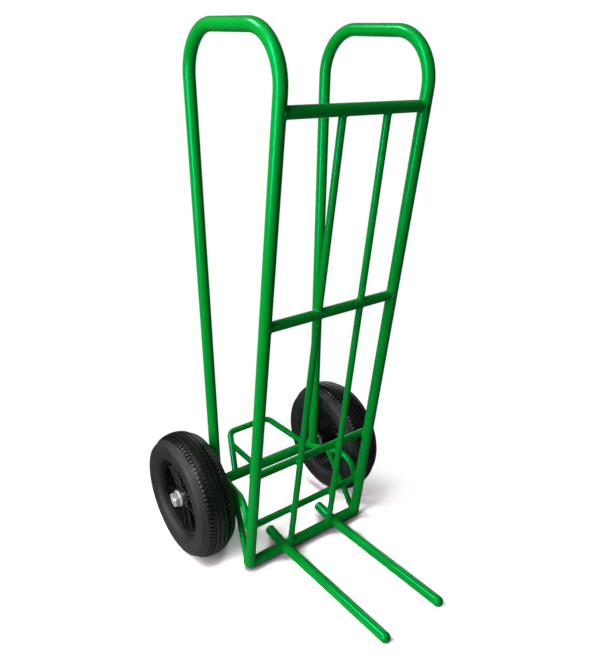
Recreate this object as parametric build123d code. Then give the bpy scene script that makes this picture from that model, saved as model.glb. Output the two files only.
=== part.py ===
from build123d import *
import math
import os

# Block trolley: millimetres, +Z up, forks reach towards -Y, origin on the floor below the middle

# Wheels and stance
wheel_radius = 198
tyre_width = 120
tyre_gap = 15
axle_back = 201
fork_reach = 480

# Side loops of bent tube
tube_radius = 16
tube_wall = 2.5
foot_clearance = 4
leg_half = 194
foot_spread = 16
head_spread = 20
leg_forward = 5
upright_length = 1483
upright_lean = 13
handle_length = 403
handle_drop = 7.5
bend_radius = 115

# Crossbars and rails, heights measured along the upright from its foot
toe_rail_radius = 10.5
toe_rail_rise = 127.5
low_rail_radius = 11.5
low_rail_rise = 320
rail_inset = 1
middle_bar_radius = 14
middle_bar_share = 0.55
top_bar_radius = 14.5
top_bar_drop = 164

# Slats, a little to the right of the middle
slat_radius = 9.5
slat_shift_foot = 20
slat_half_foot = 77
slat_shift_top = 26
slat_half_top = 68

# Fork bars
fork_radius = 15
fork_half = 100
fork_shift_foot = 18
fork_shift_tip = 6
fork_stub_radius = 15.5
fork_stub_length = 86
fork_stub_rise = 14
fork_stub_round = 5

# Axle tube, braces and foot struts
axle_radius = 10
axle_tube_radius = 17
axle_tube_overhang = 6
brace_radius = 10
brace_inset = 28
brace_lift = 6
brace_rise = 215
brace_bend = 60
strut_radius = 9.5
strut_foot_outset = 1
strut_foot_back = 12
strut_meet = 0.45

# Rear loop and its stay
rear_rod_radius = 10
rear_foot_shift = 22
rear_foot_inset = 25
rear_bar_shift = 15.5
rear_bar_taper = 64
rear_reach = 123
rear_height = 283.5
rear_lift = 10
rear_foot_back = 5
rear_bend = 28
stay_radius = 9
stay_meet = 0.68
stay_foot_x = -48

# Wheel hardware along the axle
running_clearance = 0.05
end_play = 0.5
inner_washer_radius = 22
inner_washer_thickness = 4
hub_length = 92
bearing_radius = 23.5
bearing_width = 14
shield_depth = 0.8
race_wall = 3.5
spacer_radius = 12
spacer_length = 12
outer_washer_radius = 26
outer_washer_thickness = 4
nut_flats = 41
nut_sides = 6
nut_height = 16
nut_chamfer = 2
axle_overhang = 2
axle_chamfer = 1.5

# Rim
seat_radius = 116
barrel_wall = 5
flange_height = 5
flange_width = 5
rim_half_width = 37
bead_gap = 0.3
hub_wall = 9
spoke_count = 5
full_turn = 360
spoke_phase = -40
spoke_width = 46
spoke_web = 8
spoke_rib_depth = 22
spoke_rib_width = 7
spoke_outset = 14
disc_thickness = 5

# Tyre section
shoulder_drop = 23
shoulder_inset = 3
bulge_radius = 156
bead_height = 6
groove_depth = 5
groove_half_width = 3
groove_spacing = 20

# Reference heights and positions that follow from the sizes
foot_y = (fork_reach - axle_back - wheel_radius) / 2
foot_z = tube_radius + foot_clearance
axle_y = foot_y + axle_back
axle_z = wheel_radius
foot_half = leg_half + foot_spread
head_half = leg_half + head_spread
axle_tube_half = leg_half + tube_radius + axle_tube_overhang
brace_half = leg_half - brace_inset
strut_foot_half = foot_half + strut_foot_outset
rear_foot_half = brace_half - rear_foot_inset
rear_bar_half = rear_foot_half - rear_bar_taper
wheel_half_track = leg_half + tube_radius + tyre_gap + tyre_width / 2
middle_bar_rise = upright_length * middle_bar_share
top_bar_rise = upright_length - top_bar_drop
lean_sin = math.sin(math.radians(upright_lean))
lean_cos = math.cos(math.radians(upright_lean))
drop_sin = math.sin(math.radians(handle_drop))
drop_cos = math.cos(math.radians(handle_drop))
side_signs = (-1, 1)
side_names = ("left", "right")


def upright_half(rise):
    """Half the spread of the two uprights at a distance along them."""
    return foot_half + (head_half - foot_half) * rise / upright_length


def in_plane(x, rise, back=0):
    """A point in the leaning plane of the uprights, or a distance behind that plane."""
    y = foot_y - rise * lean_sin + back * lean_cos
    z = foot_z + rise * lean_cos + back * lean_sin
    return Vector(x, y, z)


def rod(start, end, radius):
    """A straight round bar between two points."""
    line = end - start
    place = Plane(origin=start, z_dir=line)
    return place * Cylinder(radius, line.length, align=(Align.CENTER, Align.CENTER, Align.MIN))


def ball(centre, radius):
    """A ball, used for domed ends."""
    return Pos(centre) * Sphere(radius)


def bent_rod(points, radius, bend):
    """A round bar bent along a run of points."""
    path = FilletPolyline(*points, radius=bend)
    section = Plane(origin=path @ 0, z_dir=path % 0) * Circle(radius)
    return sweep(section, path=path)


def largest(shape):
    """The biggest solid left after a cut."""
    return max(shape.solids(), key=lambda solid: solid.volume)


def along_axle(side, inner, outer, radius, bore):
    """A ring on the axle between two distances from the middle."""
    start = Vector(side * inner, axle_y, axle_z)
    end = Vector(side * outer, axle_y, axle_z)
    return rod(start, end, radius) - rod(start, end, bore)


def turned(side, points):
    """A solid turned about the axle from (distance from the wheel middle, radius) points."""
    face = make_face(Polyline(*points, close=True))
    solid = revolve(face, axis=Axis.X)
    placed = Pos(wheel_half_track, axle_y, axle_z) * solid
    return placed if side > 0 else mirror(placed, about=Plane.YZ)


def save(name, shape):
    """Write one node."""
    export_step(shape, os.path.join("parts", name + ".step"))


os.makedirs("parts", exist_ok=True)

# Side loops: upright, handle and rear leg in one bent tube with a closed round foot
axle_left = Vector(-axle_tube_half, axle_y, axle_z)
axle_right = Vector(axle_tube_half, axle_y, axle_z)
axle_core = rod(axle_left, axle_right, axle_tube_radius)
upright_cores = []
for side, name in zip(side_signs, side_names):
    foot = in_plane(side * foot_half, 0)
    front_corner = in_plane(side * head_half, upright_length)
    rear_corner = front_corner + Vector(0, handle_length * drop_cos, handle_length * drop_sin)
    leg_foot = Vector(side * leg_half, axle_y - leg_forward, axle_z)
    corners = (foot, front_corner, rear_corner, leg_foot)
    bore_radius = tube_radius - tube_wall
    outside = bent_rod(corners, tube_radius, bend_radius) + ball(foot, tube_radius)
    inside = bent_rod(corners, bore_radius, bend_radius) + ball(foot, bore_radius)
    save(name + "_side_loop", largest(outside - inside - axle_core))
    upright_cores.append(rod(foot, front_corner, tube_radius) + ball(foot, tube_radius))


def between_uprights(rise, radius, inset, back=0):
    """A round bar with both ends saddle-cut to the uprights."""
    half = upright_half(rise) - inset
    bar = rod(in_plane(-half, rise, back), in_plane(half, rise, back), radius)
    return largest(bar - upright_cores[0] - upright_cores[1])


def hollow(bar, rise, radius):
    """The same bar as a tube, bored from end to end."""
    half = upright_half(rise)
    return largest(bar - rod(in_plane(-half, rise), in_plane(half, rise), radius - tube_wall))


# Crossbars in the plane of the uprights
saddle_inset = tube_radius / 2
foot_bar = between_uprights(0, tube_radius, saddle_inset)
middle_bar = between_uprights(middle_bar_rise, middle_bar_radius, saddle_inset)
top_bar = between_uprights(top_bar_rise, top_bar_radius, saddle_inset)
save("foot_crossbar", hollow(foot_bar, 0, tube_radius))
save("middle_crossbar", hollow(middle_bar, middle_bar_rise, middle_bar_radius))
save("top_crossbar", hollow(top_bar, top_bar_rise, top_bar_radius))

# Thin rails set back so that the slats lie on their front
toe_rail = between_uprights(toe_rail_rise, toe_rail_radius, rail_inset, slat_radius + toe_rail_radius)
low_rail = between_uprights(low_rail_rise, low_rail_radius, rail_inset, slat_radius + low_rail_radius)
save("toe_rail", toe_rail)
save("low_rail", low_rail)

# Fork bars start on the front of the foot crossbar and slope down until their tips rest on the floor
tip_run = fork_reach - fork_radius
fork_shapes = []
for side, name in zip(side_signs, side_names):
    fork_foot = Vector(fork_shift_foot + side * fork_half, foot_y, foot_z)
    tip = Vector(fork_shift_tip + side * fork_half, foot_y - tip_run, fork_radius)
    fork = rod(fork_foot, tip, fork_radius) + ball(tip, fork_radius)
    fork = largest(fork - foot_bar)
    save(name + "_fork_bar", fork)

    # Behind the crossbar a short, thicker stub carries the line of the fork on and rises a little
    stub_side = (fork_shift_foot - fork_shift_tip) * fork_stub_length / tip_run
    stub_end = fork_foot + Vector(stub_side, fork_stub_length, fork_stub_rise)
    stub = rod(fork_foot, stub_end, fork_stub_radius)
    stub = fillet(stub.faces().sort_by(Axis.Y)[-1].edges(), fork_stub_round)
    stub = largest(stub - foot_bar)
    save(name + "_fork_stub", stub)
    fork_shapes += [fork, stub]

# Slats: upper pair and lower pair, ending on the crossbars
for side, name in zip(side_signs, side_names):
    foot_x = slat_shift_foot + side * slat_half_foot
    top_x = slat_shift_top + side * slat_half_top
    middle_x = foot_x + (top_x - foot_x) * middle_bar_rise / top_bar_rise
    slat_foot = in_plane(foot_x, 0)
    slat_middle = in_plane(middle_x, middle_bar_rise)
    slat_top = in_plane(top_x, top_bar_rise)
    upper = rod(slat_middle, slat_top, slat_radius) - middle_bar - top_bar
    lower = rod(slat_foot, slat_middle, slat_radius) - foot_bar - middle_bar
    for fork in fork_shapes:
        lower = lower - fork
    save(name + "_upper_slat", largest(upper))
    save(name + "_lower_slat", largest(lower))

# Curved braces run from the axle tube to the back of each upright, foot struts rise to meet them
brace_back = tube_radius + brace_radius
for index, side in enumerate(side_signs):
    brace_start = Vector(side * brace_half, axle_y, axle_z + brace_lift)
    brace_corner = in_plane(side * upright_half(brace_rise), brace_rise, brace_back)
    brace_end = in_plane(side * upright_half(toe_rail_rise), toe_rail_rise, brace_back)
    brace = bent_rod((brace_start, brace_corner, brace_end), brace_radius, brace_bend)
    brace = largest(brace - axle_core - upright_cores[index] - toe_rail)
    strut_foot = Vector(side * strut_foot_half, foot_y + strut_foot_back, foot_z)
    strut_top = brace_start + (brace_corner - brace_start) * strut_meet
    strut = rod(strut_foot, strut_top, strut_radius)
    strut = largest(strut - upright_cores[index] - foot_bar - brace)
    save(side_names[index] + "_curved_brace", brace)
    save(side_names[index] + "_foot_strut", strut)

# Rear loop and its one stay stand on the axle tube
rear_y = axle_y + rear_reach
rear_foot_y = axle_y + rear_foot_back
left_foot = Vector(rear_foot_shift - rear_foot_half, rear_foot_y, axle_z + rear_lift)
left_corner = Vector(rear_bar_shift - rear_bar_half, rear_y, rear_height)
right_corner = Vector(rear_bar_shift + rear_bar_half, rear_y, rear_height)
right_foot = Vector(rear_foot_shift + rear_foot_half, rear_foot_y, axle_z + rear_lift)
rear_loop = bent_rod((left_foot, left_corner, right_corner, right_foot), rear_rod_radius, rear_bend)
rear_loop = largest(rear_loop - axle_core)
stay_top = left_foot + (left_corner - left_foot) * stay_meet
stay_foot = Vector(stay_foot_x, rear_foot_y, axle_z + rear_lift)
stay = largest(rod(stay_top, stay_foot, stay_radius) - rear_loop - axle_core)
save("rear_loop", rear_loop)
save("rear_loop_stay", stay)

# Axle tube and the fixed axle through it
axle_bore = axle_radius + running_clearance
bearing_start = axle_tube_half + inner_washer_thickness + end_play
bearing_end = bearing_start + hub_length
spacer_start = bearing_end + end_play
washer_start = spacer_start + spacer_length
nut_start = washer_start + outer_washer_thickness
nut_end = nut_start + nut_height
axle_half = nut_end + axle_overhang
save("axle_tube", axle_core - rod(axle_left, axle_right, axle_bore))
axle = rod(Vector(-axle_half, axle_y, axle_z), Vector(axle_half, axle_y, axle_z), axle_radius)
save("axle", chamfer(axle.edges().filter_by(GeomType.CIRCLE), axle_chamfer))

# Washers, spacer sleeves and nuts that keep the wheels on the axle
inner_washers = []
spacers = []
outer_washers = []
nuts = []
for side in side_signs:
    inner_end = axle_tube_half + inner_washer_thickness
    inner_washers.append(along_axle(side, axle_tube_half, inner_end, inner_washer_radius, axle_bore))
    spacers.append(along_axle(side, spacer_start, washer_start, spacer_radius, axle_bore))
    outer_washers.append(along_axle(side, washer_start, nut_start, outer_washer_radius, axle_bore))
    nut_plane = Plane(origin=(side * nut_start, axle_y, axle_z), z_dir=(side, 0, 0))
    hexagon = RegularPolygon(nut_flats / 2, nut_sides, major_radius=False) - Circle(axle_bore)
    corner_radius = nut_flats / math.sqrt(3)
    blank = Cylinder(corner_radius, nut_height, align=(Align.CENTER, Align.CENTER, Align.MIN))
    blank = chamfer(blank.faces().sort_by(Axis.Z)[-1].edges(), nut_chamfer)
    nuts.append(nut_plane * (extrude(hexagon, nut_height) & blank))
save("inner_washers", Compound([item.solid() for item in inner_washers]))
save("outer_spacers", Compound([item.solid() for item in spacers]))
save("outer_washers", Compound([item.solid() for item in outer_washers]))
save("axle_nuts", Compound([item.solid() for item in nuts]))

# Wheels: tyre, spoked rim and two bearings on each side
hub_inner = bearing_start - wheel_half_track
hub_outer = bearing_end - wheel_half_track
half_width = tyre_width / 2
shoulder_half = half_width - shoulder_inset
bead_half = rim_half_width - flange_width - bead_gap
flange_radius = seat_radius + flange_height
barrel_bore = seat_radius - barrel_wall
hub_radius = bearing_radius + hub_wall
crown_radius = (shoulder_half ** 2 + shoulder_drop ** 2) / (2 * shoulder_drop)
crown_low = wheel_radius - shoulder_drop
for side, name in zip(side_signs, side_names):
    crown = ThreePointArc((-shoulder_half, crown_low), (0, wheel_radius), (shoulder_half, crown_low))
    right_wall = Spline((shoulder_half, crown_low), (half_width, bulge_radius),
                        (bead_half, flange_radius + bead_height))
    left_wall = Spline((-shoulder_half, crown_low), (-half_width, bulge_radius),
                       (-bead_half, flange_radius + bead_height))
    bead = Polyline((bead_half, flange_radius + bead_height), (bead_half, seat_radius),
                    (-bead_half, seat_radius), (-bead_half, flange_radius + bead_height))
    section = make_face(Curve() + [crown, right_wall, bead, left_wall])
    for groove_x in (-groove_spacing, groove_spacing):
        crown_here = wheel_radius - crown_radius + math.sqrt(crown_radius ** 2 - groove_x ** 2)
        section -= Pos(groove_x, crown_here) * Rectangle(2 * groove_half_width, 2 * groove_depth)
    tyre = Pos(wheel_half_track, axle_y, axle_z) * revolve(section, axis=Axis.X)
    tyre = tyre if side > 0 else mirror(tyre, about=Plane.YZ)
    save(name + "_tyre", tyre)

    barrel = turned(side, ((-rim_half_width, barrel_bore), (rim_half_width, barrel_bore),
                           (rim_half_width, flange_radius),
                           (rim_half_width - flange_width, flange_radius),
                           (rim_half_width - flange_width, seat_radius),
                           (flange_width - rim_half_width, seat_radius),
                           (flange_width - rim_half_width, flange_radius),
                           (-rim_half_width, flange_radius)))
    hub = turned(side, ((hub_inner, bearing_radius), (hub_outer, bearing_radius),
                        (hub_outer, hub_radius), (hub_inner, hub_radius)))
    spoke_centre = Vector(side * (wheel_half_track + spoke_outset), axle_y, axle_z)
    spoke_length = (barrel_bore + seat_radius) / 2
    disc_inner = spoke_outset - (spoke_rib_depth + disc_thickness) / 2
    disc_outer = disc_inner + disc_thickness
    hub_middle = (bearing_radius + hub_radius) / 2
    disc = turned(side, ((disc_inner, hub_middle), (disc_outer, hub_middle),
                         (disc_outer, spoke_length), (disc_inner, spoke_length)))
    rib_shift = (spoke_width - spoke_rib_width) / 2
    foot_align = (Align.CENTER, Align.CENTER, Align.MIN)
    web = Box(spoke_web, spoke_width, spoke_length, align=foot_align)
    rib = Box(spoke_rib_depth, spoke_rib_width, spoke_length, align=foot_align)
    spoke = web + Pos(0, rib_shift, 0) * rib + Pos(0, -rib_shift, 0) * rib
    spoke_turns = [spoke_phase + turn * full_turn / spoke_count for turn in range(spoke_count)]
    spokes = [Pos(spoke_centre) * Rot(angle, 0, 0) * spoke for angle in spoke_turns]
    rim = barrel + hub + disc + spokes
    well_start = Vector(side * bearing_start, axle_y, axle_z)
    well_end = Vector(side * bearing_end, axle_y, axle_z)
    save(name + "_rim", largest(rim - rod(well_start, well_end, bearing_radius)))

    bearings = []
    inner_race = axle_bore + race_wall
    outer_race = bearing_radius - race_wall
    for face in (hub_inner, hub_outer - bearing_width):
        back = face + bearing_width
        bearing = turned(side, ((face, axle_bore), (back, axle_bore), (back, inner_race),
                                (back - shield_depth, inner_race), (back - shield_depth, outer_race),
                                (back, outer_race), (back, bearing_radius), (face, bearing_radius),
                                (face, outer_race), (face + shield_depth, outer_race),
                                (face + shield_depth, inner_race), (face, inner_race)))
        bearings.append(bearing.solid())
    save(name + "_bearings", Compound(bearings))
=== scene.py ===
# %% [markdown]
# # A block trolley in glossy green paint
# The trolley is welded from round tube and rod and rolls on two broad rubber tyres. The tubes come
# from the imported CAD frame. This lesson adds what a drawing office leaves out: weld beads, a moulded
# tread, spoked rims, paint, rubber and zinc, and then a studio to look at them in.

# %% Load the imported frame
import math

import bpy
import numpy as np
from mathutils import Matrix


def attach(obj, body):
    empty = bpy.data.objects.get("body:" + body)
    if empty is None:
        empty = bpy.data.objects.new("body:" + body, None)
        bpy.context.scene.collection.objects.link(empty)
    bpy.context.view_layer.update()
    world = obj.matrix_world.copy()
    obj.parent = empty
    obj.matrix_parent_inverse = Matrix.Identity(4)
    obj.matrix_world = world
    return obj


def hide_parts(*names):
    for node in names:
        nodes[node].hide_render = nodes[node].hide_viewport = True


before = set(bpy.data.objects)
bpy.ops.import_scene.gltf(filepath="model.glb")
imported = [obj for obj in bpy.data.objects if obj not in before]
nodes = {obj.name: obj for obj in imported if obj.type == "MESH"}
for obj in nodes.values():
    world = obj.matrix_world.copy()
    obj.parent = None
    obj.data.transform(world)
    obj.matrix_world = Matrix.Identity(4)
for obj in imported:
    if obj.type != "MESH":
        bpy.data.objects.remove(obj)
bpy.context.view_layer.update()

# %% [markdown]
# ## The frame's own lines
# A weld bead follows the line where one tube meets another, so the bead needs the middle line and the
# radius of both. These are the same sizes as in the CAD source, in metres. Heights on the uprights are
# measured along the leaning tube, because that is how a welder marks them out.

# %% Sizes of the frame
FOOT = np.array([0.0, 0.0405, 0.020])
AXLE = np.array([0.0, 0.2415, 0.198])
LEAN = math.radians(13)
UPRIGHT = dict(length=1.483, foot=0.210, head=0.214, radius=0.016)
HANDLE = dict(length=0.403, rise=math.radians(7.5))
LEG_HALF, LEG_FORWARD = 0.194, 0.005
RISE = dict(foot=0.0, toe=0.1275, low=0.320, middle=0.81565, top=1.319)
BAR = dict(foot=0.016, toe=0.0105, low=0.0115, middle=0.014, top=0.0145)
BACK = dict(foot=0.0, toe=0.020, low=0.021, middle=0.0, top=0.0)
SLAT = dict(radius=0.0095, foot=(-0.057, 0.097), top=(-0.042, 0.094))
FORK = dict(radius=0.015, half=0.100, foot_shift=0.018, tip_shift=0.006, tip=-0.4245)
STUB = dict(radius=0.0155, length=0.086, rise=0.014)
AXLE_TUBE = 0.017
BRACE = dict(radius=0.010, half=0.166, lift=0.006, rise=0.215, back=0.026)
STRUT = dict(radius=0.0095, half=0.211, back=0.012, meet=0.45)
REAR = dict(radius=0.010, shift=0.022, half=0.141, bar_shift=0.0155, bar_half=0.077,
            reach=0.123, height=0.2835, lift=0.010, back=0.005)
STAY = dict(radius=0.009, meet=0.68, foot=-0.048)
SIDES = ((-1.0, "left"), (1.0, "right"))
ACROSS = np.array([1.0, 0.0, 0.0])


def unit(vectors):
    """Each vector divided by its own length."""
    return vectors / np.linalg.norm(vectors, axis=-1, keepdims=True)


def on_upright(x, rise, back=0.0):
    """Points in the leaning plane: the rise runs up the slope, back runs square to it."""
    y = FOOT[1] - rise * math.sin(LEAN) + back * math.cos(LEAN)
    z = FOOT[2] + rise * math.cos(LEAN) + back * math.sin(LEAN)
    return np.stack(np.broadcast_arrays(x, y, z), -1)


def upright_half(rise):
    """Half the spread of the uprights, which widens evenly from foot to head."""
    return UPRIGHT["foot"] + (UPRIGHT["head"] - UPRIGHT["foot"]) * rise / UPRIGHT["length"]


print("head of an upright:", np.round(on_upright(UPRIGHT["head"], UPRIGHT["length"]), 3))

# %% [markdown]
# ## From a grid to a mesh
# Every new piece here is a surface worked out on a grid of two numbers. A ring of weld, a tyre and a
# rim all close on themselves, so their grid wraps round both ways. Each cell of the grid becomes one
# face. The enclosed volume tells whether the faces look outwards.

# %% Mesh helpers


def grid_faces(rows, columns, wraps):
    """Corner numbers of the cells: a point, its neighbour, the one across and the one below."""
    row = np.arange(rows if wraps else rows - 1)
    r, c = np.meshgrid(row, np.arange(columns), indexing="ij")
    r2, c2 = (r + 1) % rows, (c + 1) % columns
    corners = [r * columns + c, r * columns + c2, r2 * columns + c2, r2 * columns + c]
    return np.stack(corners, -1).reshape(-1, 4)


def outward(points, faces):
    """The faces as they are, or turned round if the volume they enclose is negative."""
    a, b, c, d = (points[faces[:, k]] for k in range(4))
    volume = np.sum(a * np.cross(b, c)) + np.sum(a * np.cross(c, d))
    return faces if volume > 0 else faces[:, ::-1]


def make_piece(name, surfaces, body, sharp_angle=40.0):
    """One object from grids that wrap round both ways, or one way with a flat cap on each end.
    It rides on a body, and edges sharper than an angle stay crisp."""
    points, faces, count = [], [], 0
    for grid, wraps in surfaces:
        rows, columns = grid.shape[:2]
        flat = grid.reshape(-1, 3)
        cells = grid_faces(rows, columns, wraps)
        kept = outward(flat - flat.mean(0), cells)
        faces += (kept + count).tolist()
        if not wraps:
            turn = 1 if kept[0, 0] == cells[0, 0] else -1
            first = np.arange(columns)[::-turn] + count
            last = np.arange(columns)[::turn] + count + (rows - 1) * columns
            faces += [first.tolist(), last.tolist()]
        points.append(flat)
        count += len(flat)
    mesh = bpy.data.meshes.new(name)
    mesh.from_pydata(np.concatenate(points), [], faces)
    mesh.polygons.foreach_set("use_smooth", np.ones(len(mesh.polygons), bool))
    mesh.set_sharp_from_angle(angle=math.radians(sharp_angle))
    piece = bpy.data.objects.new(name, mesh)
    bpy.context.scene.collection.objects.link(piece)
    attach(piece, body)
    print(name, "points", len(mesh.vertices), "faces", len(mesh.polygons))
    return piece


# %% [markdown]
# ## The photographer's view
# The camera stands at the height of the top crossbar, in front and to the left, and is tipped a little
# to one side. The lens is as wide as the spread of the lines in the picture asks for. Its position is
# in the same metres as the trolley, so nothing is fitted by eye.

# %% Camera
IMAGE_HEIGHT, FOCAL_PIXELS, SENSOR = 659, 636.083, 36.0
CAMERA_PLACE = (-0.9951, -1.3750, 1.2989)
azimuth, elevation, roll = np.radians([-35.553, 18.59, -3.096])
back_ray = np.array([math.sin(azimuth) * math.cos(elevation),
                     -math.cos(azimuth) * math.cos(elevation), math.sin(elevation)])
level = unit(np.cross(-back_ray, [0.0, 0.0, 1.0]))
upright_ray = np.cross(level, -back_ray)
image_right = level * math.cos(roll) + upright_ray * math.sin(roll)
image_up = upright_ray * math.cos(roll) - level * math.sin(roll)

camera_data = bpy.data.cameras.new("camera")
camera_data.sensor_fit = "VERTICAL"
camera_data.sensor_width = SENSOR
camera_data.sensor_height = SENSOR
camera_data.lens = SENSOR * FOCAL_PIXELS / IMAGE_HEIGHT
camera = bpy.data.objects.new("camera", camera_data)
bpy.context.scene.collection.objects.link(camera)
placing = np.eye(4)
placing[:3, 0], placing[:3, 1], placing[:3, 2] = image_right, image_up, back_ray
placing[:3, 3] = CAMERA_PLACE
camera.matrix_world = Matrix(placing.tolist())
bpy.context.scene.camera = camera
print("lens", round(camera_data.lens, 2), "mm at", CAMERA_PLACE)

# %% [markdown]
# ## Effects that several finishes share
# Paint, rubber, plastic and zinc all drift a little in tone, carry a fine grain and gather dust low
# down. Each of these is one node group, built once. The materials give it their own scale and amount.

# %% Shared node groups


def start_group(name, inputs, outputs):
    """A shader group with named float or vector inputs and outputs, and its two end nodes."""
    group = bpy.data.node_groups.new(name, "ShaderNodeTree")
    for label, kind in inputs:
        group.interface.new_socket(label, in_out="INPUT", socket_type="NodeSocket" + kind)
    for label, kind in outputs:
        group.interface.new_socket(label, in_out="OUTPUT", socket_type="NodeSocket" + kind)
    return group, group.nodes.new("NodeGroupInput"), group.nodes.new("NodeGroupOutput")


def add_math(tree, operation, first, second, clamp=False):
    """A math node fed by sockets or plain numbers."""
    node = tree.nodes.new("ShaderNodeMath")
    node.operation = operation
    node.use_clamp = clamp
    for place, value in enumerate((first, second)):
        if isinstance(value, (int, float)):
            node.inputs[place].default_value = value
        else:
            tree.links.new(value, node.inputs[place])
    return node.outputs[0]


def add_noise(tree, vector, scale, detail, roughness=0.5):
    """A noise texture on a vector; scale may be a number or a socket."""
    node = tree.nodes.new("ShaderNodeTexNoise")
    node.inputs["Detail"].default_value = detail
    node.inputs["Roughness"].default_value = roughness
    tree.links.new(vector, node.inputs["Vector"])
    if isinstance(scale, (int, float)):
        node.inputs["Scale"].default_value = scale
    else:
        tree.links.new(scale, node.inputs["Scale"])
    return node.outputs["Fac"]


def add_range(tree, value, low, high, to_low=0.0, to_high=1.0):
    """A smooth step of a value between two limits."""
    node = tree.nodes.new("ShaderNodeMapRange")
    node.interpolation_type = "SMOOTHSTEP"
    tree.links.new(value, node.inputs["Value"])
    limits = {"From Min": low, "From Max": high, "To Min": to_low, "To Max": to_high}
    for label, limit in limits.items():
        if isinstance(limit, (int, float)):
            node.inputs[label].default_value = limit
        else:
            tree.links.new(limit, node.inputs[label])
    return node.outputs["Result"]


def build_tone_drift():
    """Slow and quick noise added together, spread to the full range of 0 to 1."""
    group, given, result = start_group("tone_drift", [("Vector", "Vector"), ("Scale", "Float")],
                                       [("Drift", "Float")])
    slow = add_noise(group, given.outputs["Vector"], given.outputs["Scale"], 3.0)
    quick_scale = add_math(group, "MULTIPLY", given.outputs["Scale"], 7.0)
    quick = add_noise(group, given.outputs["Vector"], quick_scale, 2.0)
    both = add_math(group, "ADD", slow, add_math(group, "MULTIPLY", quick, 0.5))
    group.links.new(add_range(group, both, 0.5, 1.0), result.inputs["Drift"])
    return group


def build_fine_grain():
    """Two sizes of noise as a height: a soft rolling one and a sharper one a few times finer."""
    group, given, result = start_group("fine_grain", [("Vector", "Vector"), ("Scale", "Float"),
                                                      ("Fine Share", "Float")], [("Height", "Float")])
    soft = add_noise(group, given.outputs["Vector"], given.outputs["Scale"], 1.0)
    fine_scale = add_math(group, "MULTIPLY", given.outputs["Scale"], 4.3)
    fine = add_noise(group, given.outputs["Vector"], fine_scale, 2.0)
    fine = add_math(group, "MULTIPLY", fine, given.outputs["Fine Share"])
    group.links.new(add_math(group, "ADD", soft, fine), result.inputs["Height"])
    return group


def build_low_dust():
    """Dust grows towards the floor, in patches."""
    group, given, result = start_group("low_dust", [("Vector", "Vector"), ("Top", "Float"),
                                                    ("Patch Scale", "Float"), ("Amount", "Float")],
                                       [("Mask", "Float")])
    split = group.nodes.new("ShaderNodeSeparateXYZ")
    group.links.new(given.outputs["Vector"], split.inputs[0])
    low = add_range(group, split.outputs["Z"], given.outputs["Top"], 0.0)
    patches = add_range(group, add_noise(group, given.outputs["Vector"], given.outputs["Patch Scale"],
                                         6.0, 0.65), 0.42, 0.68)
    mask = add_math(group, "MULTIPLY", low, patches)
    mask = add_math(group, "MULTIPLY", mask, given.outputs["Amount"], clamp=True)
    group.links.new(mask, result.inputs["Mask"])
    return group


tone_drift, fine_grain, low_dust = build_tone_drift(), build_fine_grain(), build_low_dust()
print("groups:", [group.name for group in bpy.data.node_groups])

# %% [markdown]
# ## Starting a finish
# Each finish is one Principled shader. A colour drifts between two near tones and a dust colour is
# laid over it. Roughness follows the drift, and the grain becomes a bump. Values that are the same all
# over are set straight on the shader.

# %% Material helper


def linear(red, green, blue):
    """A colour given as 0 to 255 on screen, turned into the linear light that shaders use."""
    shown = np.array([red, green, blue]) / 255.0
    light = np.where(shown <= 0.04045, shown / 12.92, ((shown + 0.055) / 1.055) ** 2.4)
    return (*light.tolist(), 1.0)


def place_group(tree, group, vector, **values):
    """A group node reading a vector, with its plain inputs set by name."""
    node = tree.nodes.new("ShaderNodeGroup")
    node.node_tree = group
    tree.links.new(vector, node.inputs["Vector"])
    for label, value in values.items():
        node.inputs[label.replace("_", " ")].default_value = value
    return node.outputs[0]


def mix_colours(tree, factor, first, second):
    """A colour between two, each a colour value or a socket."""
    node = tree.nodes.new("ShaderNodeMix")
    node.data_type = "RGBA"
    tree.links.new(factor, node.inputs["Factor"])
    for label, value in (("A", first), ("B", second)):
        socket = next(s for s in node.inputs if s.name == label and s.type == "RGBA")
        if isinstance(value, tuple):
            socket.default_value = value
        else:
            tree.links.new(value, socket)
    return next(s for s in node.outputs if s.type == "RGBA")


def start_finish(name, dark, light, drift_scale, rough, grain, dust, dust_colour):
    """Colour, roughness, bump and dust of one finish; returns it with its tree, shader and coordinates.
    rough is (least, most); grain is (scale, fine share, depth); dust is (top, patch scale, amount)."""
    material = bpy.data.materials.new(name)
    material.use_nodes = True
    tree = material.node_tree
    shader = tree.nodes["Principled BSDF"]
    where = tree.nodes.new("ShaderNodeTexCoord").outputs["Object"]
    drift = place_group(tree, tone_drift, where, Scale=drift_scale)
    colour = mix_colours(tree, drift, dark, light)
    mask = place_group(tree, low_dust, where, Top=dust[0], Patch_Scale=dust[1], Amount=dust[2])
    tree.links.new(mix_colours(tree, mask, colour, dust_colour), shader.inputs["Base Color"])
    smooth_to_rough = add_range(tree, drift, 0.0, 1.0, rough[0], rough[1])
    dusty = add_math(tree, "ADD", smooth_to_rough, add_math(tree, "MULTIPLY", mask, 0.3), clamp=True)
    tree.links.new(dusty, shader.inputs["Roughness"])
    height = place_group(tree, fine_grain, where, Scale=grain[0], Fine_Share=grain[1])
    bump = tree.nodes.new("ShaderNodeBump")
    bump.inputs["Strength"].default_value = 1.0
    bump.inputs["Distance"].default_value = grain[2]
    tree.links.new(height, bump.inputs["Height"])
    tree.links.new(bump.outputs["Normal"], shader.inputs["Normal"])
    return material, tree, shader, where


# %% [markdown]
# ## Green paint
# The frame is sprayed with one bright green. Sprayed paint sets with a faint orange peel, a rolling
# surface a few millimetres from crest to crest. Its gloss comes from the paint's own surface, and is
# tinted green because the pigment is so strong.

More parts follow.
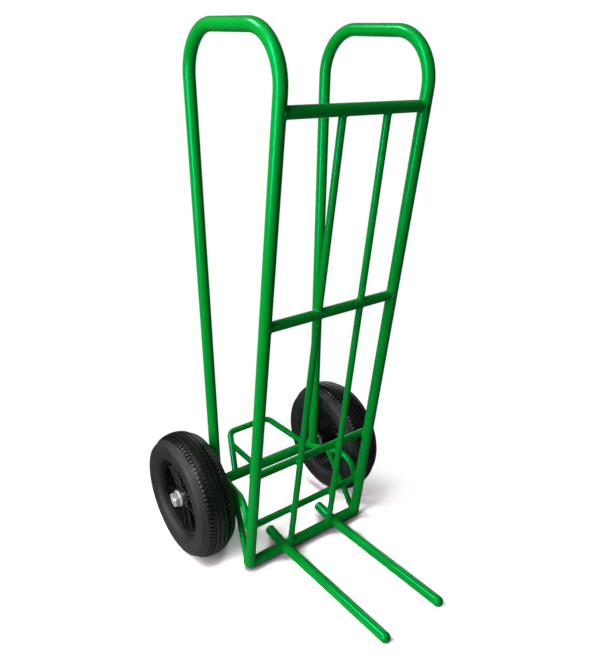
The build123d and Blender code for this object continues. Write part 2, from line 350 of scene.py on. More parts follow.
# %% Green paint
green_paint, tree, shader, where = start_finish(
    "glossy_green_paint", dark=linear(0, 160, 47), light=linear(1, 166, 50), drift_scale=5.0,
    rough=(0.22, 0.26), grain=(420.0, 0.2, 0.000006), dust=(0.06, 38.0, 0.02),
    dust_colour=linear(120, 140, 118))
shader.inputs["Specular IOR Level"].default_value = 1.0
shader.inputs["Specular Tint"].default_value = (0.0, 1.0, 0.5, 1.0)
print("finish:", green_paint.name)

# %% [markdown]
# ## Black rubber
# The tyres are moulded in charcoal rubber with a dull, slightly waxy side. The tread is shinier than
# the side, and it is coloured darker as painted shade. Its grooves are darkened further with their
# depth, as painted shade in the recesses. Each tyre stores where its tread is and how deep each point
# lies, as two attributes, and the colour and the gloss read them.

# %% Tyre rubber
TREAD_POLISH = 0.28
tyre_rubber, tree, shader, where = start_finish(
    "charcoal_rubber", dark=linear(33, 33, 34), light=linear(40, 40, 41), drift_scale=14.0,
    rough=(0.56, 0.66), grain=(900.0, 0.8, 0.00004), dust=(0.10, 26.0, 0.12),
    dust_colour=linear(120, 116, 110))
shader.inputs["Specular IOR Level"].default_value = 0.6


def read_attribute(tree, name):
    """The value that a piece stores at its points under a name."""
    node = tree.nodes.new("ShaderNodeAttribute")
    node.attribute_name = name
    return node.outputs["Fac"]


wall_colour = shader.inputs["Base Color"].links[0].from_socket
wall_rough = shader.inputs["Roughness"].links[0].from_socket
on_tread = read_attribute(tree, "tread")
# The tread is given a darker colour than the wall: painted shade.
tread_colour_with_painted_shade = mix_colours(tree, on_tread, wall_colour, linear(14, 14, 15))
# The grooves darken further with their depth: painted shade in the recesses.
tread_colour_with_painted_shade = mix_colours(tree, read_attribute(tree, "tread_depth"), tread_colour_with_painted_shade, linear(5, 5, 6))
tree.links.new(tread_colour_with_painted_shade, shader.inputs["Base Color"])
polish = add_math(tree, "MULTIPLY", on_tread, TREAD_POLISH)
tree.links.new(add_math(tree, "SUBTRACT", wall_rough, polish), shader.inputs["Roughness"])
print("finish:", tyre_rubber.name)

# %% [markdown]
# ## Black rim plastic
# The rims are moulded in glossy black plastic, nearly without colour of their own.

# %% Rim plastic
rim_plastic, tree, shader, where = start_finish(
    "black_rim_plastic", dark=linear(14, 14, 15), light=linear(20, 20, 21), drift_scale=18.0,
    rough=(0.22, 0.34), grain=(700.0, 0.6, 0.00005), dust=(0.20, 30.0, 0.12),
    dust_colour=linear(96, 94, 90))
print("finish:", rim_plastic.name)

# %% [markdown]
# ## Zinc and bearing steel
# Nuts, washers, sleeves and the axle are plated with bright zinc, which is a pale metal with slow
# cloudy spots. The bearings are ground steel with a dark shield between the two races. The distance
# from the axle tells the shield from the races.

# %% Zinc and steel
SHIELD_START, SHIELD_END = (0.0134, 0.0137), (0.0201, 0.0198)
zinc_steel, tree, shader, where = start_finish(
    "bright_zinc", dark=linear(222, 223, 225), light=linear(240, 240, 241), drift_scale=60.0,
    rough=(0.30, 0.42), grain=(1500.0, 0.5, 0.00004), dust=(0.18, 40.0, 0.10),
    dust_colour=linear(110, 106, 100))
shader.inputs["Metallic"].default_value = 0.55

bearing_steel, tree, shader, where = start_finish(
    "ground_steel", dark=linear(150, 152, 155), light=linear(190, 192, 195), drift_scale=80.0,
    rough=(0.20, 0.34), grain=(1800.0, 0.5, 0.00003), dust=(0.18, 40.0, 0.05),
    dust_colour=linear(110, 106, 100))
split = tree.nodes.new("ShaderNodeSeparateXYZ")
tree.links.new(where, split.inputs[0])
off_y = add_math(tree, "SUBTRACT", split.outputs["Y"], float(AXLE[1]))
off_z = add_math(tree, "SUBTRACT", split.outputs["Z"], float(AXLE[2]))
from_axle = add_math(tree, "SQRT", add_math(tree, "ADD", add_math(tree, "POWER", off_y, 2.0),
                                            add_math(tree, "POWER", off_z, 2.0)), 0.0)
past_inner = add_range(tree, from_axle, *SHIELD_START)
before_outer = add_range(tree, from_axle, *SHIELD_END)
shield = add_math(tree, "MULTIPLY", past_inner, before_outer)
steel_colour = shader.inputs["Base Color"].links[0].from_socket
two_tone = mix_colours(tree, shield, steel_colour, linear(28, 28, 30))
tree.links.new(two_tone, shader.inputs["Base Color"])
tree.links.new(add_math(tree, "SUBTRACT", 1.0, shield), shader.inputs["Metallic"])
print("finishes:", zinc_steel.name, bearing_steel.name)

# %% [markdown]
# ## Dressing the CAD nodes
# A CAD node whose shape is right keeps its mesh and only gets a better material in its slots.

# %% Dress the nodes
finish_of_slot = {"green_paint": green_paint, "tyre_rubber": tyre_rubber, "rim_plastic": rim_plastic,
                  "zinc_steel": zinc_steel, "bearing_steel": bearing_steel}
slot_of_node = {name: node.material_slots[0].material.name.split(".")[0]
                for name, node in nodes.items()}
for name, node in nodes.items():
    for place in node.material_slots:
        place.material = finish_of_slot[slot_of_node[name]]
print("dressed:", {slot: list(slot_of_node.values()).count(slot) for slot in finish_of_slot})

# %% [markdown]
# ## Weld beads
# A welder runs a bead round every joint, laid as a row of small overlapping puddles. The seam is found
# first: a line is followed along the bar from each point of its rim until it reaches the other bar.
# Then an oval is carried along that seam and swells a little at each puddle. A bead's width is half
# the breadth of the oval, more or less, and follows the thickness of the bar.

# %% Weld seams
WIDTH = dict(rail=0.0023, bar=0.0026, slat=0.0024, crossing=0.0020, fork=0.0026, leg=0.0032,
             brace=0.0025, strut_foot=0.0026, strut_top=0.0024, stitch=0.0030, rear=0.0025,
             stay_foot=0.0024, stay_top=0.0022)
THIN_RAIL = 0.012
PUDDLE = 0.0042
SWELL = dict(least=0.86, gain=0.22, taper=4.4, tip=0.02)
OVAL = dict(points=10, tall=0.72, wide=1.10)


def square_to(vectors, axis):
    """What is left of the vectors when their part along an axis is taken off."""
    return vectors - (vectors @ axis)[..., None] * axis


def square_to_each(vectors, axes):
    """Each vector without its part along its own axis."""
    return vectors - np.sum(vectors * axes, axis=-1, keepdims=True) * axes


def seam_around(start, heading, radius, cores, count=144):
    """Points where lines along a bar's rim first come to the distance R from another bar's axis.
    cores lists (point, direction, R) of the other bars, and the nearest hit counts. Where lines pass
    beside them all, the seam is an open run of the hits. Returns points, outward rays and closed."""
    heading = unit(heading)
    side = unit(np.cross(heading, cores[0][1]))
    lift = np.cross(side, heading)
    angle = np.linspace(0.0, 2.0 * np.pi, count, endpoint=False)[:, None]
    spread = np.cos(angle) * side + np.sin(angle) * lift
    rim = start + radius * spread
    steps, costs, sides, hits = [], [], [], []
    for point, direction, core_radius in cores:
        direction = unit(direction)
        away, slide = square_to(rim - point, direction), square_to(heading, direction)
        a, b = slide @ slide, away @ slide
        gap = b * b - a * (np.sum(away * away, 1) - core_radius ** 2)
        step = (-b - np.sqrt(np.maximum(gap, 0.0))) / a
        steps.append(step)
        hits.append(gap > 0)
        costs.append(np.where(gap > 0, step, np.inf))
        sides.append(unit(square_to(rim + step[:, None] * heading - point, direction)))
    first = np.argmin(costs, axis=0)
    every = np.arange(count)
    step = np.array(steps)[first, every]
    core_side = np.array(sides)[first, every]
    seam, out = rim + step[:, None] * heading, unit(spread + core_side)
    reached = np.any(hits, axis=0)
    if reached.all():
        return seam, out, True
    start = np.flatnonzero(reached & ~np.roll(reached, 1))[0]
    run = np.roll(every, -start)[:np.count_nonzero(reached)]
    return seam[run], out[run], False


def seam_at_touch(touch, first_axis, first_radius, second_axis, second_radius, fill, count=96):
    """The ring where two crossed bars, each fattened by the fill, meet around their point of touch.
    Along the first bar x runs to 2 sqrt(R fill) of the second; y follows from the two circles."""
    first_axis, second_axis = unit(first_axis), unit(second_axis)
    up = unit(np.cross(second_axis, first_axis))
    along = unit(np.cross(up, second_axis))
    sideways = unit(np.cross(up, first_axis))
    angle = np.linspace(0.0, 2.0 * np.pi, count, endpoint=False)
    x = 2.0 * math.sqrt(second_radius * fill) * np.cos(angle)
    low = np.sqrt((second_radius + fill) ** 2 - x ** 2)
    rest = (first_radius + fill) ** 2 - (first_radius + second_radius - low) ** 2
    y = np.sign(np.sin(angle)) * np.sqrt(np.maximum(rest, 0.0))
    ring = touch + np.outer(x, along) + np.outer(y, sideways) + np.outer(low - second_radius, up)
    return ring, unit(ring - touch), True


print("bead widths from", min(WIDTH.values()), "to", max(WIDTH.values()), "m")

# %% [markdown]
# The bead itself: the oval stands on the seam, its tall axis along the outward ray. An open bead tapers
# off at both ends, as it does where the welder starts and stops.

# %% Weld beads


def bead_on(seam, out, closed, width):
    """An oval carried along a seam: its height and width grow and shrink with every puddle."""
    ahead = np.roll(seam, -1, 0) - np.roll(seam, 1, 0) if closed else np.gradient(seam, axis=0)
    along = unit(ahead)
    rise = unit(square_to_each(out, along))
    beside = np.cross(along, rise)
    run = np.cumsum(np.linalg.norm(np.roll(seam, -1, 0) - seam, axis=1))
    puddles = max(3, round(run[-1] / PUDDLE))
    swell = SWELL["least"] + SWELL["gain"] * np.abs(np.cos(np.pi * puddles * run / run[-1]))
    if not closed:
        share = np.linspace(0.0, 1.0, len(seam))
        swell = swell * np.sqrt(np.clip(SWELL["taper"] * share * (1.0 - share), SWELL["tip"], 1.0))
    turn = np.linspace(0.0, 2.0 * np.pi, OVAL["points"], endpoint=False)[None, :, None]
    size = width * swell[:, None, None]
    tall = OVAL["tall"] * size * np.cos(turn) * rise[:, None, :]
    wide = OVAL["wide"] * size * np.sin(turn) * beside[:, None, :]
    return seam[:, None, :] + tall + wide, closed


def weld(start, heading, radius, cores, width):
    """The bead round a bar that runs from a start along a heading until it meets other bars."""
    return bead_on(*seam_around(start, heading, radius, cores), width)


upright_lines = {side: (on_upright(side * UPRIGHT["foot"], 0.0),
                        on_upright(side * UPRIGHT["head"], UPRIGHT["length"])
                        - on_upright(side * UPRIGHT["foot"], 0.0), UPRIGHT["radius"])
                 for side, _ in SIDES}
bar_lines = {bar: (on_upright(0.0, RISE[bar], BACK[bar]), ACROSS, BAR[bar]) for bar in RISE}
foot_line = bar_lines["foot"]
axle_line = (AXLE, ACROSS, AXLE_TUBE)
print("puddle length", PUDDLE, "bars", list(bar_lines))

# %% [markdown]
# The crossbars and rails end on the uprights. The slats end on the crossbars and lie across the two
# thin rails, where a small ring of weld fills the crack around the touching point. The fork bars start
# on the front of the foot crossbar, and their stubs on its back.

# %% Welds of bars, slats and forks
CROSSING_FILL = 0.0016
bar_beads = [weld(bar_lines[bar][0], side * ACROSS, BAR[bar], [upright_lines[side]],
                  WIDTH["rail" if BAR[bar] < THIN_RAIL else "bar"])
             for bar in RISE for side, _ in SIDES]

slat_beads = []
for place, (side, _) in enumerate(SIDES):
    foot = on_upright(SLAT["foot"][place], 0.0)
    top = on_upright(SLAT["top"][place], RISE["top"])
    climb = unit(top - foot)
    on_lower, on_upper = foot + 0.5 * (top - foot), foot + 0.8 * (top - foot)
    for start, heading, bar in ((on_upper, climb, "top"), (on_upper, -climb, "middle"),
                                (on_lower, climb, "middle"), (on_lower, -climb, "foot")):
        slat_beads.append(weld(start, heading, SLAT["radius"], [bar_lines[bar]], WIDTH["slat"]))
    for bar in ("toe", "low"):
        crossing = foot + climb * RISE[bar]
        touch = crossing + (on_upright(0.0, 0.0, SLAT["radius"]) - on_upright(0.0, 0.0))
        ring = seam_at_touch(touch, climb, SLAT["radius"], ACROSS, BAR[bar], CROSSING_FILL)
        slat_beads.append(bead_on(*ring, WIDTH["crossing"]))
fork_skew = (FORK["foot_shift"] - FORK["tip_shift"]) / (FOOT[1] - FORK["tip"])
for side, _ in SIDES:
    fork_foot = FOOT + ACROSS * (FORK["foot_shift"] + side * FORK["half"])
    fork_tip = np.array([FORK["tip_shift"] + side * FORK["half"], FORK["tip"], FORK["radius"]])
    stub_end = fork_foot + np.array([fork_skew * STUB["length"], STUB["length"], STUB["rise"]])
    for end, radius in ((fork_tip, FORK["radius"]), (stub_end, STUB["radius"])):
        slat_beads.append(weld(end, fork_foot - end, radius, [foot_line], WIDTH["fork"]))
print("beads", len(bar_beads) + len(slat_beads))

# %% [markdown]
# Behind the frame the legs and the curved braces stand on the axle tube, and the foot struts reach from
# the feet to the braces. The lower run of each brace lies along the upright and is held by short
# stitches on both sides, in the nook where the two round tubes come together.

# %% Welds on the axle tube and the braces
STITCHES, STITCH_POINTS, NOOK = ((0.136, 0.150), (0.152, 0.164)), 48, 0.0022
apart = UPRIGHT["radius"] + BRACE["radius"]
upright_reach, brace_reach = UPRIGHT["radius"] + NOOK, BRACE["radius"] + NOOK
stitch_back = (upright_reach ** 2 - brace_reach ** 2 + apart ** 2) / (2 * apart)
stitch_out = math.sqrt(upright_reach ** 2 - stitch_back ** 2)
axle_beads, brace_beads = [], []
drop = np.array([0.0, math.cos(HANDLE["rise"]), math.sin(HANDLE["rise"])]) * HANDLE["length"]
for side, _ in SIDES:
    leg_top = on_upright(side * UPRIGHT["head"], UPRIGHT["length"]) + drop
    leg_foot = np.array([side * LEG_HALF, AXLE[1] - LEG_FORWARD, AXLE[2]])
    axle_beads.append(weld(0.5 * (leg_top + leg_foot), leg_foot - leg_top, UPRIGHT["radius"],
                           [axle_line], WIDTH["leg"]))
    brace_foot = np.array([side * BRACE["half"], AXLE[1], AXLE[2] + BRACE["lift"]])
    brace_corner = on_upright(side * upright_half(BRACE["rise"]), BRACE["rise"], BRACE["back"])
    axle_beads.append(weld(0.5 * (brace_foot + brace_corner), brace_foot - brace_corner,
                           BRACE["radius"], [axle_line], WIDTH["brace"]))
    strut_foot = np.array([side * STRUT["half"], FOOT[1] + STRUT["back"], FOOT[2]])
    strut_top = brace_foot + (brace_corner - brace_foot) * STRUT["meet"]
    strut_middle = 0.5 * (strut_foot + strut_top)
    brace_line = (brace_foot, brace_corner - brace_foot, BRACE["radius"])
    brace_beads.append(weld(strut_middle, strut_foot - strut_top, STRUT["radius"],
                            [upright_lines[side], foot_line], WIDTH["strut_foot"]))
    brace_beads.append(weld(strut_middle, strut_top - strut_foot, STRUT["radius"], [brace_line],
                            WIDTH["strut_top"]))
    for low, high in STITCHES:
        for hand in (-1.0, 1.0):
            rises = np.linspace(low, high, STITCH_POINTS)
            spots = on_upright(side * upright_half(rises) + hand * stitch_out, rises, stitch_back)
            out = np.tile(hand * ACROSS, (len(spots), 1))
            brace_beads.append(bead_on(spots, out, False, WIDTH["stitch"]))
print("beads on legs and braces", len(axle_beads) + len(brace_beads))

# %% [markdown]
# The rear loop stands on the axle tube with two feet, and one short stay props its near arm. With
# these the list of joints is complete, and the beads become four pieces.

# %% Welds of the rear loop
rear_corners = [np.array([REAR["bar_shift"] + side * REAR["bar_half"], AXLE[1] + REAR["reach"],
                          REAR["height"]]) for side, _ in SIDES]
rear_feet = [np.array([REAR["shift"] + side * REAR["half"], AXLE[1] + REAR["back"],
                       AXLE[2] + REAR["lift"]]) for side, _ in SIDES]
for corner, foot in zip(rear_corners, rear_feet):
    axle_beads.append(weld(0.5 * (corner + foot), foot - corner, REAR["radius"], [axle_line],
                           WIDTH["rear"]))
stay_top = rear_feet[0] + (rear_corners[0] - rear_feet[0]) * STAY["meet"]
stay_foot = np.array([STAY["foot"], AXLE[1] + REAR["back"], AXLE[2] + REAR["lift"]])
stay_middle = 0.5 * (stay_top + stay_foot)
rear_arm = (rear_feet[0], rear_corners[0] - rear_feet[0], REAR["radius"])
axle_beads.append(weld(stay_middle, stay_foot - stay_top, STAY["radius"], [axle_line],
                       WIDTH["stay_foot"]))
axle_beads.append(weld(stay_middle, stay_top - stay_foot, STAY["radius"], [rear_arm],
                       WIDTH["stay_top"]))

for name, beads in (("bar_welds", bar_beads), ("slat_and_fork_welds", slat_beads),
                    ("axle_tube_welds", axle_beads), ("brace_welds", brace_beads)):
    welds = make_piece(name, beads, "frame", sharp_angle=60.0)
    welds.data.materials.append(green_paint)

# %% [markdown]
# ## Tyres
# The tyre is a ring whose section is carried round the axle. The crown is an arc with two wavy grooves
# on each half and a row of raised blocks on each shoulder, and the wall is two soft curves. Rows of the
# grid lie along the edges of the grooves, and columns along the edges of the notches, so a few hundred
# columns are enough for crisp edges.

# %% Tyre section
WHEEL = dict(half_track=0.285, radius=0.198, blocks=90)
TYRE = dict(half_width=0.060, shoulder_half=0.057, shoulder_drop=0.023, bulge=0.156, bead_half=0.0317)
RIM = dict(seat=0.116, wall=0.005, flange=0.005, half_width=0.037)
CROWN = (TYRE["shoulder_half"] ** 2 + TYRE["shoulder_drop"] ** 2) / (2.0 * TYRE["shoulder_drop"])
TREAD_END = 0.0624
GROOVES = (dict(middle=0.0080, half=0.0010, depth=0.0038, wave=0.0006),
           dict(middle=0.0221, half=0.0015, depth=0.0046, wave=0.0012))
SLOPE = 0.0006
SIPE = dict(depth=0.0009, reach=0.0032)
BLOCK = dict(start=0.0243, eased=0.0322, end=0.0388, notch=0.0048, round=0.0110)


def smooth_step(values, low, high):
    """0 below the low limit, 1 above the high one, and 3 t t - 2 t t t between them."""
    t = np.clip((values - low) / (high - low), 0.0, 1.0)
    return t * t * (3.0 - 2.0 * t)


def soft_corner(first, corner, last, steps):
    """Points of the curve that leaves the first point towards a corner and arrives at the last."""
    t = np.linspace(0.0, 1.0, steps)[:, None]
    first, corner, last = (np.asarray(point, float) for point in (first, corner, last))
    return (1 - t) ** 2 * first + 2 * t * (1 - t) * corner + t ** 2 * last


def tread_rows():
    """Distances from the middle of the tread of the grid rows: ribs, groove floors, shoulder."""
    rows, edge = [], 0.0
    for groove in GROOVES:
        low, high = groove["middle"] - groove["half"], groove["middle"] + groove["half"]
        rows += [np.linspace(edge, low - SLOPE, 5), np.array([low, high])]
        edge = high + SLOPE
    turn = np.arcsin((BLOCK["end"] - BLOCK["eased"]) / BLOCK["round"])
    rows += [np.linspace(edge, BLOCK["eased"], 5),
             BLOCK["eased"] + BLOCK["round"] * np.sin(np.linspace(0.15, 1.0, 7) * turn),
             np.linspace(BLOCK["end"] + 0.0012, TREAD_END, 9)]
    return np.concatenate(rows)


def tread_depths(rows):
    """Depth of the grooves, depth of the notches, drop beside the blocks, and how far a row waves."""
    off = np.abs(rows)
    groove, sipe = np.zeros(len(off)), np.zeros(len(off))
    for each in GROOVES:
        away = np.abs(off - each["middle"]) - each["half"]
        groove += each["depth"] * np.clip(1.0 - away / SLOPE, 0.0, 1.0)
        sipe += SIPE["depth"] * np.clip(1.0 - away / SIPE["reach"], 0.0, 1.0)
    bent = np.clip(off, BLOCK["eased"], BLOCK["end"]) - BLOCK["eased"]
    fading = 1.0 - smooth_step(off, BLOCK["end"] + 0.002, TREAD_END)
    drop = (BLOCK["round"] - np.sqrt(BLOCK["round"] ** 2 - bent ** 2)) * fading
    on_block = (off > BLOCK["start"] - SLOPE) & (off < BLOCK["end"] + SLOPE)
    notch = np.where(on_block, BLOCK["notch"], np.where(off < BLOCK["start"], sipe, 0.0))
    wave = np.interp(off, [0.0, *(each["middle"] for each in GROOVES), BLOCK["eased"]],
                     [0.0, *(each["wave"] for each in GROOVES), 0.0])
    return groove, notch, drop, wave * np.sign(rows)


print("crown radius", round(CROWN, 4), "rows on half the tread", len(tread_rows()))

# %% [markdown]
# The wall of the tyre swells out to its widest place and comes back in to the flange of the rim, where
# the bead sits with a hair of room. Round the wheel each block takes seven columns of the grid: four at
# the edges of the notch and three on the block.

# %% Tyre surface
NOTCH = dict(floor=0.145, edge=0.20)
BEAD = dict(flange_gap=0.002, drop=0.003, round=0.0015, seat_gap=0.0002)


def wall_section():
    """The wall from the end of the tread to the seat: out to the bulge, in to the flange, then down."""
    lean = TREAD_END / CROWN
    end = np.array([math.sin(lean), math.cos(lean) - 1.0]) * CROWN + [0.0, WHEEL["radius"]]
    bulge = np.array([TYRE["half_width"], TYRE["bulge"]])
    corner = end + np.array([1.0, -math.tan(lean)]) * (bulge[0] - end[0])
    top_of_flange = RIM["seat"] + RIM["flange"] + BEAD["flange_gap"]
    flange = np.array([RIM["half_width"] - RIM["flange"] + BEAD["flange_gap"], top_of_flange])
    seat, half = RIM["seat"] + BEAD["seat_gap"], TYRE["bead_half"]
    bead = [(half, top_of_flange - BEAD["drop"]), (half, seat + BEAD["round"]),
            (half - BEAD["round"], seat), (0.5 * half, seat)]
    return np.concatenate([soft_corner(end, corner, bulge, 9)[1:],
                           soft_corner(bulge, (bulge[0], flange[1]), flange, 15)[1:], bead])


def tyre_grid(side):
    """Rows across the section, columns round the wheel: the section's point moves inwards by the
    deeper of its groove and its notch, and sideways by a triangle wave once per block."""
    half = tread_rows()
    rows = np.concatenate([-half[:0:-1], half])
    groove, notch, drop, wave_size = tread_depths(rows)
    pitch = 2.0 * np.pi / WHEEL["blocks"]
    edge, floor = NOTCH["edge"], NOTCH["floor"]
    within = np.concatenate([[-edge, -floor, floor, edge], np.linspace(0.37, 0.63, 3)])
    notched = np.tile((np.abs(within) <= floor).astype(float), WHEEL["blocks"])
    wave_of = np.abs(((within + 0.25) % 1.0) * 2.0 - 1.0) * 2.0 - 1.0
    wave = np.tile(wave_of, WHEEL["blocks"])
    angle = (np.arange(WHEEL["blocks"])[:, None] * pitch + within * pitch).ravel()

    lean = (rows[:, None] + wave_size[:, None] * wave) / CROWN
    cut = np.maximum(groove[:, None], notch[:, None] * notched)
    far = CROWN - np.maximum(cut, drop[:, None])
    tread_x = far * np.sin(lean)
    tread_r = WHEEL["radius"] - CROWN + far * np.cos(lean)

    wall_x, wall_r = (column[:, None] * np.ones(len(angle)) for column in wall_section().T)
    section_x = np.concatenate([-wall_x[::-1], tread_x, wall_x])
    section_r = np.concatenate([wall_r[::-1], tread_r, wall_r])
    x = side * (WHEEL["half_track"] + section_x)
    y = AXLE[1] + section_r * np.sin(angle)
    z = AXLE[2] + section_r * np.cos(angle)
    tread = slice(len(wall_x), len(wall_x) + len(rows))
    depth, zone = np.zeros(x.shape), np.zeros(x.shape)
    depth[tread] = cut
    beyond = smooth_step(np.abs(rows) - BLOCK["end"], 0.001, 0.003)
    zone[tread] = 1.0 - beyond[:, None]
    return np.stack([x, y, z], -1), zone, depth / depth.max()


for side, name in SIDES:
    surface, zone, depth = tyre_grid(side)
    tyre = make_piece(name + "_treaded_tyre", [(surface, True)], name + "_wheel",
                      sharp_angle=34.0)
    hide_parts(name + "_tyre")
    for label, values in (("tread", zone), ("tread_depth", depth)):
        store = tyre.data.attributes.new(label, "FLOAT", "POINT")
        store.data.foreach_set("value", values.ravel().astype(np.float32))
    tyre.data.materials.append(tyre_rubber)

# %% [markdown]
# ## Rims
# The rim is one moulding: a barrel with two rolled lips, a hub, a thin disc and five spokes on its
# outer side. Barrel, hub and disc are sections turned about the axle. A spoke is an H-shaped profile
# with rounded corners, carried outwards from the hub and flared where it runs into the barrel.

# %% Rim surface
HUB = dict(inner=-0.0645, outer=0.0275, bore=0.0235, radius=0.0325)
SPOKE = dict(count=5, phase=math.radians(-40), outset=0.014, half_width=0.023, rib=0.007, web=0.004,
             half_depth=0.011)
FLARE = dict(barrel=0.35, barrel_run=0.007, hub=0.3, hub_run=0.006, spread=(0.85, 1.25))
DISC = dict(thickness=0.005, into_hub=0.003, into_barrel=0.002)
ROUND = dict(barrel=0.0022, hub=0.0016, spoke=0.0016)


def rounded(corners, radius, steps=4):
    """A closed outline with each corner cut by a curve between points a radius from the corner."""
    corners = np.asarray(corners, float)
    before = corners + radius * unit(np.roll(corners, 1, 0) - corners)
    after = corners + radius * unit(np.roll(corners, -1, 0) - corners)
    return np.concatenate([soft_corner(*points, steps) for points in zip(before, corners, after)])


def turned_ring(outline, side, count=160):
    """An outline of (distance along the axle, radius) carried round the axle."""
    angle = np.linspace(0.0, 2.0 * np.pi, count, endpoint=False)
    x = side * (WHEEL["half_track"] + outline[:, 0, None]) * np.ones(count)
    y = AXLE[1] + outline[:, 1, None] * np.sin(angle)
    z = AXLE[2] + outline[:, 1, None] * np.cos(angle)
    return np.stack([x, y, z], -1)


def box_outline(low, high, inner, outer):
    """The four corners of a section between two places on the axle and two radii."""
    return np.array([(low, inner), (high, inner), (high, outer), (low, outer)])


def spoke_grid(side, angle):
    """The H profile at stations along the radius; it widens evenly and deepens near barrel and hub."""
    deep, web, wide = SPOKE["half_depth"], SPOKE["web"], SPOKE["half_width"]
    slot = wide - SPOKE["rib"]
    corners = [(-deep, -wide), (deep, -wide), (deep, -slot), (web, -slot), (web, slot), (deep, slot),
               (deep, wide), (-deep, wide), (-deep, slot), (-web, slot), (-web, -slot), (-deep, -slot)]
    outline = rounded(corners, ROUND["spoke"])
    reach = np.linspace(HUB["bore"] + 0.004, RIM["seat"] - 0.5 * RIM["wall"], 24)[:, None]
    flare = 1.0 + FLARE["barrel"] * np.exp((reach - reach.max()) / FLARE["barrel_run"])
    flare += FLARE["hub"] * np.exp((HUB["radius"] - reach) / FLARE["hub_run"])
    spread = np.interp(reach, [HUB["radius"], RIM["seat"]], FLARE["spread"])
    along = WHEEL["half_track"] + SPOKE["outset"] + outline[None, :, 0] * flare
    sideways = outline[None, :, 1] * spread
    y = AXLE[1] - reach * math.sin(angle) + sideways * math.cos(angle)
    z = AXLE[2] + reach * math.cos(angle) + sideways * math.sin(angle)
    return np.stack([side * along, y, z], -1)


print("spokes", SPOKE["count"], "disc", DISC["thickness"])

# %% [markdown]
# Barrel, hub, disc and spokes run a little into each other, as one moulding does, and stay separate
# surfaces in one piece. The disc closes the wheel behind the spokes.

# %% Rims
half, seat = RIM["half_width"], RIM["seat"]
shelf, lip = half - RIM["flange"], seat + RIM["flange"]
bore = seat - RIM["wall"]
barrel = [(-half, bore), (half, bore), (half, lip), (shelf, lip), (shelf, seat), (-shelf, seat),
          (-shelf, lip), (-half, lip)]
disc_middle = SPOKE["outset"] - SPOKE["half_depth"]
half_disc = 0.5 * DISC["thickness"]
disc = box_outline(disc_middle - half_disc, disc_middle + half_disc, HUB["radius"] - DISC["into_hub"],
                   bore + DISC["into_barrel"])
hub = box_outline(HUB["inner"], HUB["outer"], HUB["bore"], HUB["radius"])
for side, name in SIDES:
    surfaces = [(turned_ring(rounded(barrel, ROUND["barrel"]), side), True),
                (turned_ring(rounded(hub, ROUND["hub"]), side, 96), True),
                (turned_ring(disc, side), True)]
    turns = SPOKE["phase"] + np.arange(SPOKE["count"]) * 2.0 * np.pi / SPOKE["count"]
    surfaces += [(spoke_grid(side, turn), False) for turn in turns]
    rim = make_piece(name + "_spoked_rim", surfaces, name + "_wheel", sharp_angle=38.0)
    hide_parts(name + "_rim")
    rim.data.materials.append(rim_plastic)

# %% [markdown]
# ## The studio
# The trolley stands on a white floor in white surroundings. What the camera sees is white, while the
# light that falls on the trolley from all round stays low, so that the tubes keep dark edges. The
# surroundings are one background whose strength depends on the kind of ray that asks.

# %% Surroundings
view = bpy.context.scene.view_settings
view.view_transform = "Standard"


def seen_white(tree, mirrored):
    """1 for rays from the camera and through glass, a share for shiny surfaces, 0 for the rest."""
    path = tree.nodes.new("ShaderNodeLightPath")
    shiny = add_math(tree, "MULTIPLY", path.outputs["Is Glossy Ray"], mirrored)
    clear = add_math(tree, "MAXIMUM", shiny, path.outputs["Is Transmission Ray"])
    return add_math(tree, "MAXIMUM", path.outputs["Is Camera Ray"], clear)


FILL, MIRRORED = 0.05, 0.08
world = bpy.data.worlds.new("surroundings")
world.use_nodes = True
bpy.context.scene.world = world
sky = world.node_tree.nodes["Background"]
sky.inputs["Color"].default_value = (1.0, 1.0, 1.0, 1.0)
strength = add_math(world.node_tree, "MAXIMUM", seen_white(world.node_tree, MIRRORED), FILL)
world.node_tree.links.new(strength, sky.inputs["Strength"])
print("fill light", FILL)

# %% [markdown]
# ## The floor
# The floor takes the shadows of the lamps near the trolley and fades to plain white further out. Close
# under the foot crossbar and the near wheel little light gets in, and there the floor is shaded by how
# much of the sky above it is covered.

# %% Floor
REACH = 9.0
LIT, UNSEEN = (3.10, 2.87, 2.99, 1.0), (0.40, 0.40, 0.40, 1.0)
UNDER_BAR, UNDER_WHEEL = (0.85, 0.58, 0.78, 1.0), (1.02, 0.93, 0.98, 1.0)
COVER = dict(distance=0.05, dark=0.50, clear=0.92)
SHADED = dict(front=(-0.04, 0.012), right=(0.25, 0.22), left=(-0.352, -0.296), wheel=(-0.22, -0.25))
FADE = dict(middle=(-0.14, 0.02, 0.0), start=0.40, end=0.68)
floor_mesh = bpy.data.meshes.new("floor")
floor_mesh.from_pydata([(-REACH, -REACH, 0), (REACH, -REACH, 0), (REACH, REACH, 0), (-REACH, REACH, 0)],
                       [], [(0, 1, 2, 3)])
floor = bpy.data.objects.new("floor", floor_mesh)
bpy.context.scene.collection.objects.link(floor)

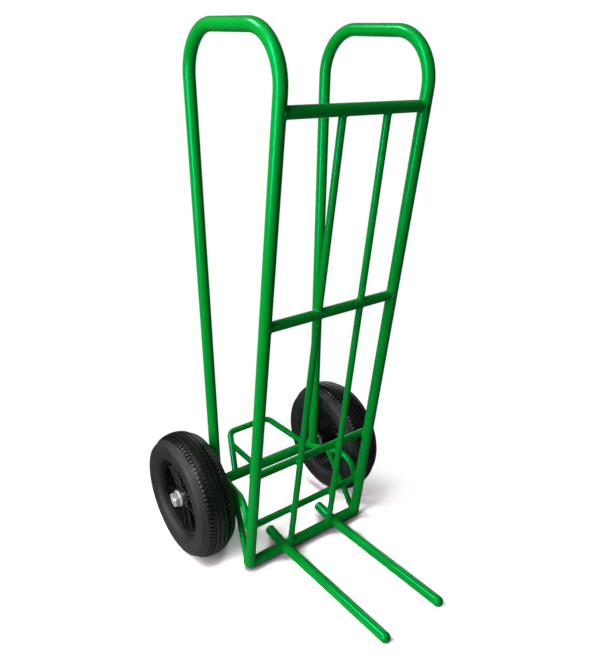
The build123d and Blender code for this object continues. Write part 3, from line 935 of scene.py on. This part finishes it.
floor_paint = bpy.data.materials.new("floor_paint")
floor_paint.use_nodes = True
tree = floor_paint.node_tree
tree.nodes.remove(tree.nodes["Principled BSDF"])
matt = tree.nodes.new("ShaderNodeBsdfDiffuse")
spot = tree.nodes.new("ShaderNodeTexCoord")
split = tree.nodes.new("ShaderNodeSeparateXYZ")
tree.links.new(spot.outputs["Object"], split.inputs[0])
covered = tree.nodes.new("ShaderNodeAmbientOcclusion")
covered.inputs["Distance"].default_value = COVER["distance"]
contact = add_range(tree, covered.outputs["AO"], COVER["dark"], COVER["clear"], 1.0, 0.0)
for axis, limits in (("Y", SHADED["front"]), ("X", SHADED["right"]), ("X", SHADED["left"])):
    contact = add_math(tree, "MULTIPLY", contact, add_range(tree, split.outputs[axis], *limits))
by_wheel = add_range(tree, split.outputs["X"], *SHADED["wheel"])
bright = mix_colours(tree, contact, LIT, mix_colours(tree, by_wheel, UNDER_BAR, UNDER_WHEEL))
white = mix_colours(tree, seen_white(tree, 0.0), UNSEEN, bright)
tree.links.new(white, matt.inputs["Color"])
far_white = tree.nodes.new("ShaderNodeEmission")
far_strength = add_math(tree, "MAXIMUM", seen_white(tree, MIRRORED), FILL)
tree.links.new(far_strength, far_white.inputs["Strength"])
away = tree.nodes.new("ShaderNodeVectorMath")
away.operation = "DISTANCE"
away.inputs[1].default_value = FADE["middle"]
tree.links.new(spot.outputs["Object"], away.inputs[0])
fade = tree.nodes.new("ShaderNodeMixShader")
tree.links.new(add_range(tree, away.outputs["Value"], FADE["start"], FADE["end"]), fade.inputs[0])
tree.links.new(matt.outputs[0], fade.inputs[1])
tree.links.new(far_white.outputs[0], fade.inputs[2])
tree.links.new(fade.outputs[0], tree.nodes["Material Output"].inputs["Surface"])
floor_mesh.materials.append(floor_paint)
print("floor reaches", REACH, "m and is white from", FADE["end"], "m out")

# %% [markdown]
# ## The lamps
# A tall soft box on the left gives the long bright band on the tubes and leaves their right edges dark.
# A weaker one overhead lights what faces up. A far one high behind throws the shadows forward, and a
# weak one at the right rear keeps the side that the camera can't see from going black. A lamp's look
# depends on its radiance, so that is what each one is given, and the power follows from its size.

# %% Soft boxes


def soft_box(name, place, target, width, height, radiance):
    """A rectangular lamp that faces a point; its power is radiance times area times pi."""
    lamp = bpy.data.lights.new(name, "AREA")
    lamp.shape = "RECTANGLE"
    lamp.size, lamp.size_y = width, height
    lamp.energy = radiance * width * height * math.pi
    holder = bpy.data.objects.new(name, lamp)
    bpy.context.scene.collection.objects.link(holder)
    away = unit(np.array(place) - np.array(target))
    right = unit(np.cross([0.0, 0.0, 1.0], away)) if abs(away[2]) < 0.99 else ACROSS
    turn = np.eye(4)
    turn[:3, 0], turn[:3, 1], turn[:3, 2] = right, np.cross(away, right), away
    turn[:3, 3] = place
    holder.matrix_world = Matrix(turn.tolist())
    print(name, "power", round(lamp.energy, 1), "W")


soft_box("left_soft_box", place=(-2.60, -0.56, 1.52), target=(0.0, -0.05, 0.62),
         width=1.24, height=3.88, radiance=6.6)
soft_box("top_soft_box", place=(-1.1, -0.3, 3.2), target=(0.0, 0.0, 0.6),
         width=1.6, height=1.6, radiance=1.2)
soft_box("back_soft_box", place=(-4.0, 4.4, 7.8), target=(0.0, -0.1, 0.1),
         width=2.5, height=2.5, radiance=14.0)
soft_box("right_soft_box", place=(2.5, 2.4, 1.3), target=(0.0, 0.0, 0.7),
         width=2.4, height=3.0, radiance=0.9)
